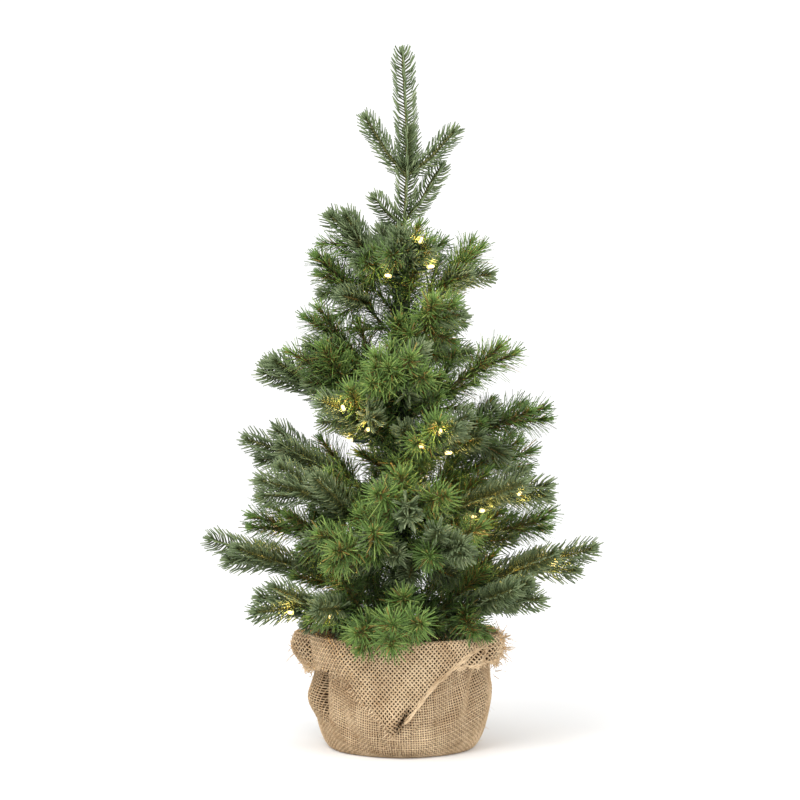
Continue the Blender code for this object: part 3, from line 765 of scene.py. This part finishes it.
# Dents and bulges of the cloth: azimuth in degrees, height in mm, how far they reach each way, their
# depth in mm, and how far they lean to the right on the way up
Fold = namedtuple("Fold", "azimuth height half_angle half_height depth lean")
BAG_FOLDS = [Fold(*row) for row in (
    (-149, 55, 2.8, 18, -19, 0.05), (-161, 45, 7, 17, 9, 0), (-171, 30, 3, 12, -5, 0.3),
    (-139, 50, 6, 22, 3.2, 0), (-128, 26, 7, 20, -3.4, -0.35), (-114, 20, 6, 12, 1.2, -0.3),
    (-62, 36, 6, 22, -3.2, 0.4), (-72, 14, 7, 9, 2.4, 0.2), (-48, 50, 5, 20, 3, 0.3),
    (-36, 60, 4.5, 18, -4.5, 0.3), (-24, 46, 6, 20, 3.5, 0.1), (-8, 40, 4, 22, -5, 0.1),
    (-90, 33, 2, 9, -13, 0.7), (-84.5, 26, 3, 9, 5, 0.6), (-97, 16, 4, 9, 3, 0.4),
    (-104, 14, 2.6, 9, -2.6, -0.5), (12, 50, 5, 20, 4, 0.3), (24, 50, 4, 22, -9, 0.1),
    (44, 44, 7, 24, 3.5, -0.2), (64, 42, 5, 22, -8, -0.1), (98, 48, 4, 24, -9, 0.05),
    (114, 40, 6, 24, 3.5, 0.2), (131, 44, 5, 20, -8.5, 0.1), (147, 46, 5, 22, 3.5, -0.2),
    (162, 50, 4, 20, -8.5, -0.1),
)]
CUFF_FOLDS = [Fold(*row) for row in (
    (-178, 86, 11, 17, 13, 0), (-160, 84, 3.5, 12, -5, 0), (-14, 90, 9, 14, 7, 0),
    (-27, 88, 2.6, 16, -5, 0.2), (-38, 84, 3.2, 12, 3, 0.5), (-47, 80, 3, 12, -3.5, 0.7),
    (-90, 33, 1.9, 9, -13, 0.7), (-97, 34, 4.5, 9, 4.5, 0.3), (-84.5, 30, 2.6, 9, 5.5, 0.6),
    (-128, 82, 9, 12, 3.4, -0.3), (-113, 84, 7, 12, -2.6, -0.2), (-72, 80, 9, 12, 2.6, 0.3),
    (-140, 66, 8, 10, 2.5, 0), (16, 86, 6, 16, 3, 0.2), (34, 86, 4, 16, -7, 0.15),
    (52, 84, 7, 14, 3.5, -0.2), (80, 86, 4.5, 16, -6.5, -0.15), (101, 84, 7, 14, 3.5, 0.2),
    (121, 86, 4.5, 16, -7, 0.1), (137, 84, 6, 14, 3, -0.2), (154, 86, 4, 16, -6, -0.1),
)]


def folded(azimuth, height, folds):
    """How far the cloth stands out from its plain round shape."""
    out = 0.9 * MM * np.sin(3 * azimuth + 40 * height) + 0.6 * MM * np.sin(7 * azimuth - 60 * height)
    for fold in folds:
        up = (height - fold.height * MM) / (fold.half_height * MM)
        across = np.degrees(angle_from(azimuth, radians(fold.azimuth))) / fold.half_angle
        out += fold.depth * MM * np.exp(-((across - fold.lean * 3 * up) ** 2) - up**2)
    return out


def cylinder_place(azimuth, radius, height):
    return np.stack([radius * np.cos(azimuth), radius * np.sin(azimuth), height], axis=-1)


def bag_place(azimuth, travel):
    """A point of the bag at a distance `travel` along the cloth, from under the base upwards."""
    heights = np.concatenate([[0.9 * MM, 0.9 * MM], np.linspace(1.0 * MM, BAG_HEIGHT - 3 * MM, 90)])
    radii = bag_radius(heights)
    radii[0] = BAG_BOTTOM_RADIUS - 12 * MM
    steps = np.hypot(np.diff(radii), np.diff(heights))
    reached = np.append(0.0, np.cumsum(steps))
    height = np.interp(travel, reached, heights)
    radius = np.interp(travel, reached, radii) - 1.0 * MM
    foot = np.clip(height / (9 * MM), 0, 1)
    radius += foot * folded(azimuth, height, BAG_FOLDS)
    cuff_end = np.linalg.norm(cuff_place(azimuth, np.full_like(azimuth, CUFF_END))[..., :2], axis=-1)
    meet = np.clip((height - INSIDE_HEIGHT) / (10 * MM), 0, 1)
    return cylinder_place(azimuth, radius + meet * (cuff_end - radius), height)


def cuff_place(azimuth, travel):
    """A point of the cuff. `travel` is its height up to the rim, where the cloth rolls inwards."""
    rim = BAG_HEIGHT - CUFF_ROLL
    height = np.minimum(travel, rim)
    share = np.maximum(height - BAG_WIDEST_HEIGHT, 0.0) / (BAG_HEIGHT - BAG_WIDEST_HEIGHT)
    stand = CUFF_STEP + CUFF_BULGE * share + folded(azimuth, height, CUFF_FOLDS)
    hem = np.clip((height - cuff_edge(azimuth)) / (7 * MM), 0, 1)
    loose = np.interp(np.degrees(angle_from(azimuth, FRONT)), (-66, -52, 10, 24), (0.95, 0.6, 0.5, 0.9))
    radius = bag_radius(height) + stand * (loose + (1 - loose) * hem * (2 - hem))
    roll = np.clip((travel - rim) / CUFF_ROLL, 0, pi)
    beyond = np.maximum(travel - rim - pi * CUFF_ROLL, 0.0)
    radius = radius - CUFF_ROLL * (1 - np.cos(roll)) - 0.3 * beyond
    height = height + CUFF_ROLL * np.sin(roll) - beyond
    return cylinder_place(azimuth, radius, height)


def cloth(place, azimuth, travel):
    """Points of `place`, and the directions out of the cloth there."""
    small = 0.4 * MM
    points = place(azimuth, travel)
    turned_on = place(azimuth + small / BAG_WIDEST_RADIUS, travel) - points
    climbed = place(azimuth, travel + small) - points
    return points, unit(np.cross(turned_on, climbed))


def add_yarn(surface, points, normals, signs, radius, draw):
    """Adds a yarn through its crossings, over where the sign is 1 and under where it is -1."""
    path = points + (YARN_WAVE * signs)[:, None] * normals
    thick = radius * draw.uniform(0.93, 1.07) * draw.uniform(0.86, 1.14, (1, len(path)))
    surface.add_tubes(path[None], thick, 4, normals[None], YARN_FLATNESS, shade=draw.uniform(0, 1, 1))


def runs_of(shown):
    """The stretches of more than two true values in a row, as lists of their places."""
    places = np.flatnonzero(shown)
    return [run for run in np.split(places, np.flatnonzero(np.diff(places) > 1) + 1) if len(run) > 2]


def make_bag_weave(finishes):
    """The bag below its cuff and inside its rim, woven of upright and level yarns."""
    draw = np.random.default_rng(41)
    numbers = np.arange(-26, 54)
    rows = len(numbers)
    azimuths = FRONT + 2 * pi * np.arange(BAG_YARNS) / BAG_YARNS + draw.normal(0, 0.0016, BAG_YARNS)
    travels = BAG_YARN_PITCH * (0.5 + numbers) + draw.normal(0, 0.09 * MM, rows)
    travel, azimuth = np.meshgrid(travels, azimuths, indexing="ij")
    off_front = angle_from(azimuth, FRONT)
    travel += BAG_SAG * BAG_WIDEST_RADIUS * (1 - np.cos(off_front))
    travel = travel + 1.6 * MM * np.sin(2 * azimuth + 1) + 0.5 * MM * np.sin(7 * azimuth)
    azimuth -= BAG_SAG * np.sin(off_front) * (travel - BAG_WIDEST_HEIGHT) / BAG_WIDEST_RADIUS
    azimuth += 0.03 * np.sin(28 * travel + 2 * azimuth)
    points, normals = cloth(bag_place, azimuth, travel)
    signs = np.where((np.arange(rows)[:, None] + np.arange(BAG_YARNS)[None]) % 2, 1.0, -1.0)
    height = points[:, :, 2]
    shown = (height < cuff_edge(azimuth) + CUFF_OVERLAP) | (height > INSIDE_HEIGHT)
    shown &= (travel > 0) & (travel < BAG_END)
    surface = Surface()
    closed = np.append(np.arange(BAG_YARNS), 0)

    def lay(places, over):
        add_yarn(surface, points[places], normals[places], over * signs[places], BAG_YARN_RADIUS, draw)

    for row in range(rows):
        for run in [closed] if shown[row].all() else runs_of(shown[row]):
            lay((row, run), 1)
    for column in range(BAG_YARNS):
        for run in runs_of(shown[:, column]):
            lay((run, column), -1)
    surface.finish("jute_bag", [finishes["jute"]], BASE, "jute_cloth", "burlap_wrap")


def sheet(surface, place, azimuth, travel, inset):
    """Adds a smooth sheet, closed round the trunk, at a distance `inset` behind the cloth."""
    points, normals = cloth(place, azimuth, travel)
    points -= inset * normals
    rows, columns = azimuth.shape
    index = np.arange(rows * columns).reshape(rows, columns)
    here, right = index[:-1], np.roll(index, -1, axis=1)[:-1]
    above, corner = index[1:], np.roll(index, -1, axis=1)[1:]
    faces = np.concatenate([np.stack([here, right, corner], -1), np.stack([here, corner, above], -1)])
    surface.add(points.reshape(-1, 3), faces.reshape(-1, 3), 0, np.full((rows * columns, 3), 0.5))


def make_shade_sheets(finishes):
    """Dark sheets of painted shade behind the weave of the bag and of the cuff, seen through its holes.

    The bag's sheet lies inside its yarns up to INSIDE_HEIGHT and outside them above, where they are
    seen from within.
    """
    surface = Surface()
    azimuth, share = np.meshgrid(np.linspace(0, 2 * pi, 200, endpoint=False), np.linspace(0, 1, 60))
    travel = BAG_END * share
    height = bag_place(azimuth, travel)[..., 2:]
    inset = SHADE_SHEET_INSET * np.interp(height, (INSIDE_HEIGHT - 1 * MM, INSIDE_HEIGHT + 3 * MM), (1, -1))
    sheet(surface, bag_place, azimuth, travel, inset)
    lowest = cuff_edge(azimuth) + 1.5 * MM
    sheet(surface, cuff_place, azimuth, lowest + (CUFF_END - lowest) * share, 1.0 * MM)
    # One piece of painted shade behind the weave
    surface.finish("painted_shade_cloth", [finishes["jute_shade"]], BASE, "jute_cloth")


def make_cuff_weave(finishes):
    """The cuff, with its yarns on the bias and an open weave."""
    draw = np.random.default_rng(43)
    surface = Surface()
    counts = np.arange(-4, 50)
    travel = CUFF_ROW_START + CUFF_ROW * counts
    step = pi / CUFF_YARNS
    for lean in (1, -1):
        for first in range(CUFF_YARNS):
            azimuth = FRONT + step * (2 * first + lean * counts) + 0.0016 * draw.normal()
            azimuth += 0.008 * np.sin(60 * travel)
            shown = (travel > cuff_edge(azimuth)) & (travel < CUFF_END)
            points, normals = cloth(cuff_place, azimuth, travel)
            signs = np.where((counts + (lean > 0)) % 2, 1.0, -1.0)
            for run in runs_of(shown):
                add_yarn(surface, points[run], normals[run], signs[run], CUFF_YARN_RADIUS, draw)
                add_yarn_end(surface, points[run], normals[run], azimuth[run[0]], draw)
    add_edge_yarns(surface, draw)
    surface.finish("jute_cuff", [finishes["jute"]], BASE, "jute_cloth")


def add_yarn_end(surface, points, normals, azimuth, draw):
    """The ragged end of a yarn at the cuff's edge; there are few on the right of the point."""
    off_front = np.degrees(angle_from(azimuth, FRONT))
    if -4 < off_front < 34 and draw.uniform() > 0.1:
        return
    heading = unit(points[0] - points[2])
    slope = -38 < off_front < -3
    length = (draw.uniform(4.0, 6.5) if slope else draw.uniform(2.5, 5.5)) * MM
    shares = np.linspace(0, 1, 5)[:, None]
    stray = draw.normal(0, 0.3, 3) + (0.1 if slope else 0.3) * normals[0]
    path = points[0] + 0.9 * MM * normals[0] + length * (shares * heading + shares**2 * stray)
    radii = CUFF_YARN_RADIUS * np.array([0.95, 0.85, 0.7, 0.5, 0.3])
    shade = draw.uniform(0.7, 1.3, 1)
    surface.add_tubes(path[None], radii[None], 4, normals[:1][None], 0.8, shade=shade)


def add_edge_yarns(surface, draw):
    """The yarns of the cuff's turned edge: up over it right of its point, and along the loose hem."""
    slope = np.linspace(2, 56, 60)
    heights = np.interp(slope, (-6, 5, 13, 21, 32, 42, 56), (19, 36, 51, 64, 77.5, 86, 94))
    hem = np.linspace(34, 304, 260)
    runs = [(slope, heights + 1.5 * row - 1.2, lift) for row, lift in enumerate((0.9, 1.0, 0.5))]
    runs += [(hem, cuff_edge(FRONT + np.radians(hem)) / MM + 1.1 * row + 0.2, 0.5) for row in range(2)]
    for row, (degrees, height, lift) in enumerate(runs):
        sway = 0.5 * np.sin(0.9 * degrees + 2 * row) + 0.3 * np.sin(2.3 * degrees + row)
        azimuth = FRONT + np.radians(degrees)
        travel = (height + sway) * MM
        points, normals = cloth(cuff_place, azimuth, travel)
        points += lift * MM * normals
        radii = EDGE_YARN_RADIUS * draw.uniform(0.8, 1.2, (1, len(degrees)))
        surface.add_tubes(points[None], radii, 5, normals[None], 0.85, shade=draw.uniform(0.5, 1, 1))


def make_fibres(finishes):
    """Loose fibres and yarn ends that stand off the cloth, most of them at the cuff's corners."""
    draw = np.random.default_rng(47)
    surface = Surface()
    shares = np.linspace(0, 1, 7)[:, None]
    # Centre azimuth (degrees), travel (mm), spread of each, how many, length (mm), radius (mm)
    groups = ((-8, 84, 7, 8, 90, 6.5, 0.42), (-14, 97, 9, 5, 50, 7, 0.4), (178, 80, 9, 9, 60, 5.5, 0.38),
              (-120, 62, 20, 8, 46, 3.5, 0.24), (-94, 30, 7, 4, 26, 4, 0.3),
              (-22, 98, 10, 4, 12, 15, 0.2), (90, 80, 80, 9, 90, 5, 0.3), (0, 50, 180, 26, 300, 3, 0.13))
    for azimuth, travel, spread, tall, count, length, radius in groups:
        place = cuff_place if travel > 55 else bag_place
        azimuths = np.radians(draw.normal(azimuth, spread, count))
        travels = np.clip(draw.normal(travel, tall, count), 14, 104) * MM
        roots, normals = cloth(place, azimuths, travels)
        heading = unit(normals + draw.normal(0, 0.7, (count, 3)))
        stray = draw.normal(0, 0.7, (count, 3))
        reach = length * MM * draw.uniform(0.4, 1.2, (count, 1, 1))
        paths = roots[:, None] + reach * (shares * heading[:, None] + shares**2 * stray[:, None])
        paths[:, :, 2] = np.maximum(paths[:, :, 2], 0.5 * MM)
        radii = radius * MM * np.linspace(1, 0.5, 7)[None] * draw.uniform(0.7, 1.3, (count, 1))
        surface.add_tubes(paths, radii, 3, normals[:, None], shade=draw.uniform(0.3, 1, count))
    surface.finish("jute_fibres", [finishes["jute"]], BASE, "jute_cloth")


# ---- lights


def strand_pair(surface, points):
    """Two thin insulated strands twisted round each other along a line."""
    roots, along, _ = places_along(points, STRAND_STEP, 0.0, 1.0)
    side, up = sideways(along)
    turn = 2 * pi * STRAND_TURNS_PER_MM * (STRAND_STEP / MM) * np.arange(len(roots))
    for phase in (0, pi):
        offset = np.cos(turn + phase)[:, None] * side + np.sin(turn + phase)[:, None] * up
        path = roots + 0.95 * STRAND_RADIUS * offset
        radii = np.full((1, len(path)), STRAND_RADIUS)
        surface.add_tubes(path[None], radii, 5, up[None])


def rounded(points):
    """The line with its corners cut three times over, and both its ends kept."""
    for _ in range(3):
        before, after = points[:-1], points[1:]
        cut = np.stack([0.75 * before + 0.25 * after, 0.25 * before + 0.75 * after], axis=1)
        points = np.concatenate([points[:1], cut.reshape(-1, 3), points[-1:]])
    return points


def make_cable(finishes):
    """The two twisted strands from the battery box to the top of the trunk."""
    azimuth, radius, height = np.array(CABLE_ROUTE).T
    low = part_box("battery_case")[0]
    back, up = OUTLET_PLACE
    outlet = np.array([[low.x, low.y + back, up], [low.x - 8 * MM, low.y + back, up]])
    route = cylinder_place(np.radians(azimuth), radius * MM, height * MM)
    surface = Surface()
    strand_pair(surface, rounded(np.concatenate([outlet, route])))
    surface.finish("cable_strands", [finishes["cable"]], BASE, "green_cable", "light_cable")


def add_lamp_body(surface, start, end):
    """A ribbed husk and, beyond it, a clear lamp with a rounded tip, from start to end."""
    # Share of the way, radius as a share of the husk's
    husk = ((0.0, 0.35), (0.04, 0.8), (0.1, 1.0), (0.3, 1.0), (0.32, 0.88), (0.36, 0.88), (0.38, 1.0),
            (0.62, 1.0), (0.66, 1.06), (0.69, 1.06), (0.7, 0.8))
    lens = ((0.68, 0.5), (0.8, 0.62), (0.9, 0.62), (0.96, 0.5), (0.99, 0.3), (1.0, 0.1))
    axis = end - start
    for stations, slot in ((husk, 0), (lens, 1)):
        path = np.array([start + share * axis for share, _ in stations])
        radii = np.array([[HUSK_RADIUS * radius for _, radius in stations]])
        surface.add_tubes(path[None], radii, 12, UP, slot=slot)


def make_light_run(number, joint, branch, finishes):
    """The lamps of one branch and their cable, in place of the frame's plain ones."""
    place = np.array(joint["pos_m"])
    surface = Surface()
    for points, first in lamp_lines(branch, branch_lines(branch, place[2])[0]):
        strand_pair(surface, points[: first + 1])
        add_lamp_body(surface, points[first], points[-1])
        glow = points[first] + GLOW_SHARE * (points[-1] - points[first])
        add_glow(placed(glow, place), joint["child"])
    surface.move(place)
    surface.finish(f"lamps_{number:02d}", [finishes["cable"], finishes["lamp"]], joint["child"],
                   "light_string", f"light_run_{number:02d}")


def add_glow(place, body):
    """A small warm light in a lamp, for its glow on the needles near it."""
    light = bpy.data.lights.new("glow", "POINT")
    light.energy = GLOW_POWER
    light.color = (1.0, 0.62, 0.22)
    light.shadow_soft_size = 3 * MM
    made = add_object("glow", light)
    made.location = place
    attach(made, body)


# ---- studio


def make_studio():
    """A pale floor, an even white surround, a soft key light from the front left and the camera."""
    finish = Graph("floor_paint", 0.9, specular=0.1)
    finish.colour(finish.ramp(finish.noise(3), [(0.0, (0.9, 0.9, 0.9)), (1.0, (0.93, 0.93, 0.93))]))
    mesh = bpy.data.meshes.new("floor")
    corners = ((-1, -1), (1, -1), (1, 1), (-1, 1))
    mesh.from_pydata([(x * FLOOR_HALF, y * FLOOR_HALF, 0) for x, y in corners], [], [range(4)])
    mesh.materials.append(finish.material)
    add_object("floor", mesh)
    world = bpy.data.worlds.new("studio")
    bpy.context.scene.world = world
    world.use_nodes = True
    background = world.node_tree.nodes["Background"]
    background.inputs["Color"].default_value = (1.0, 1.0, 1.0, 1.0)
    background.inputs["Strength"].default_value = WORLD_STRENGTH
    for name, place, size, power in LIGHTS:
        light = bpy.data.lights.new(name, "AREA")
        light.size = size
        light.energy = power
        aim(add_object(name, light), place, LIGHT_TARGET)
    bpy.context.scene.view_settings.view_transform = "Standard"
    make_camera()


def aim(made, place, target):
    """Puts a light or the camera at `place`, pointing at `target`."""
    made.location = place
    made.rotation_euler = (Vector(target) - Vector(place)).to_track_quat("-Z", "Y").to_euler()


def make_camera():
    """A level, distant view from the front, slightly above the middle of the tree."""
    data = bpy.data.cameras.new("camera")
    data.sensor_width = CAMERA_SENSOR
    data.lens = CAMERA_LENS
    camera = add_object("camera", data)
    aim(camera, CAMERA_PLACE, CAMERA_TARGET)
    bpy.context.scene.camera = camera


# ---- the whole scene


def main():
    for existing in list(bpy.data.objects):
        bpy.data.objects.remove(existing)
    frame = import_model()
    joints = {joint["name"]: joint for joint in frame["joints"]}
    finishes = make_finishes()
    finish_frame_nodes(frame["nodes"], finishes)
    runs = 0
    for number, branch in enumerate(BRANCHES, start=1):
        joint = joints[f"branch_{number:02d}_fold"]
        make_branch(number, joint, branch, finishes)
        if branch.lamps:
            runs += 1
            make_light_run(runs, joint, branch, finishes)
    make_top(joints["leader_bend"], finishes)
    # Among these, dark sheets of painted shade go behind the weave
    for make in (make_garland, make_cable, make_shade_sheets, make_bag_weave, make_cuff_weave, make_fibres):
        make(finishes)
    make_studio()


main()
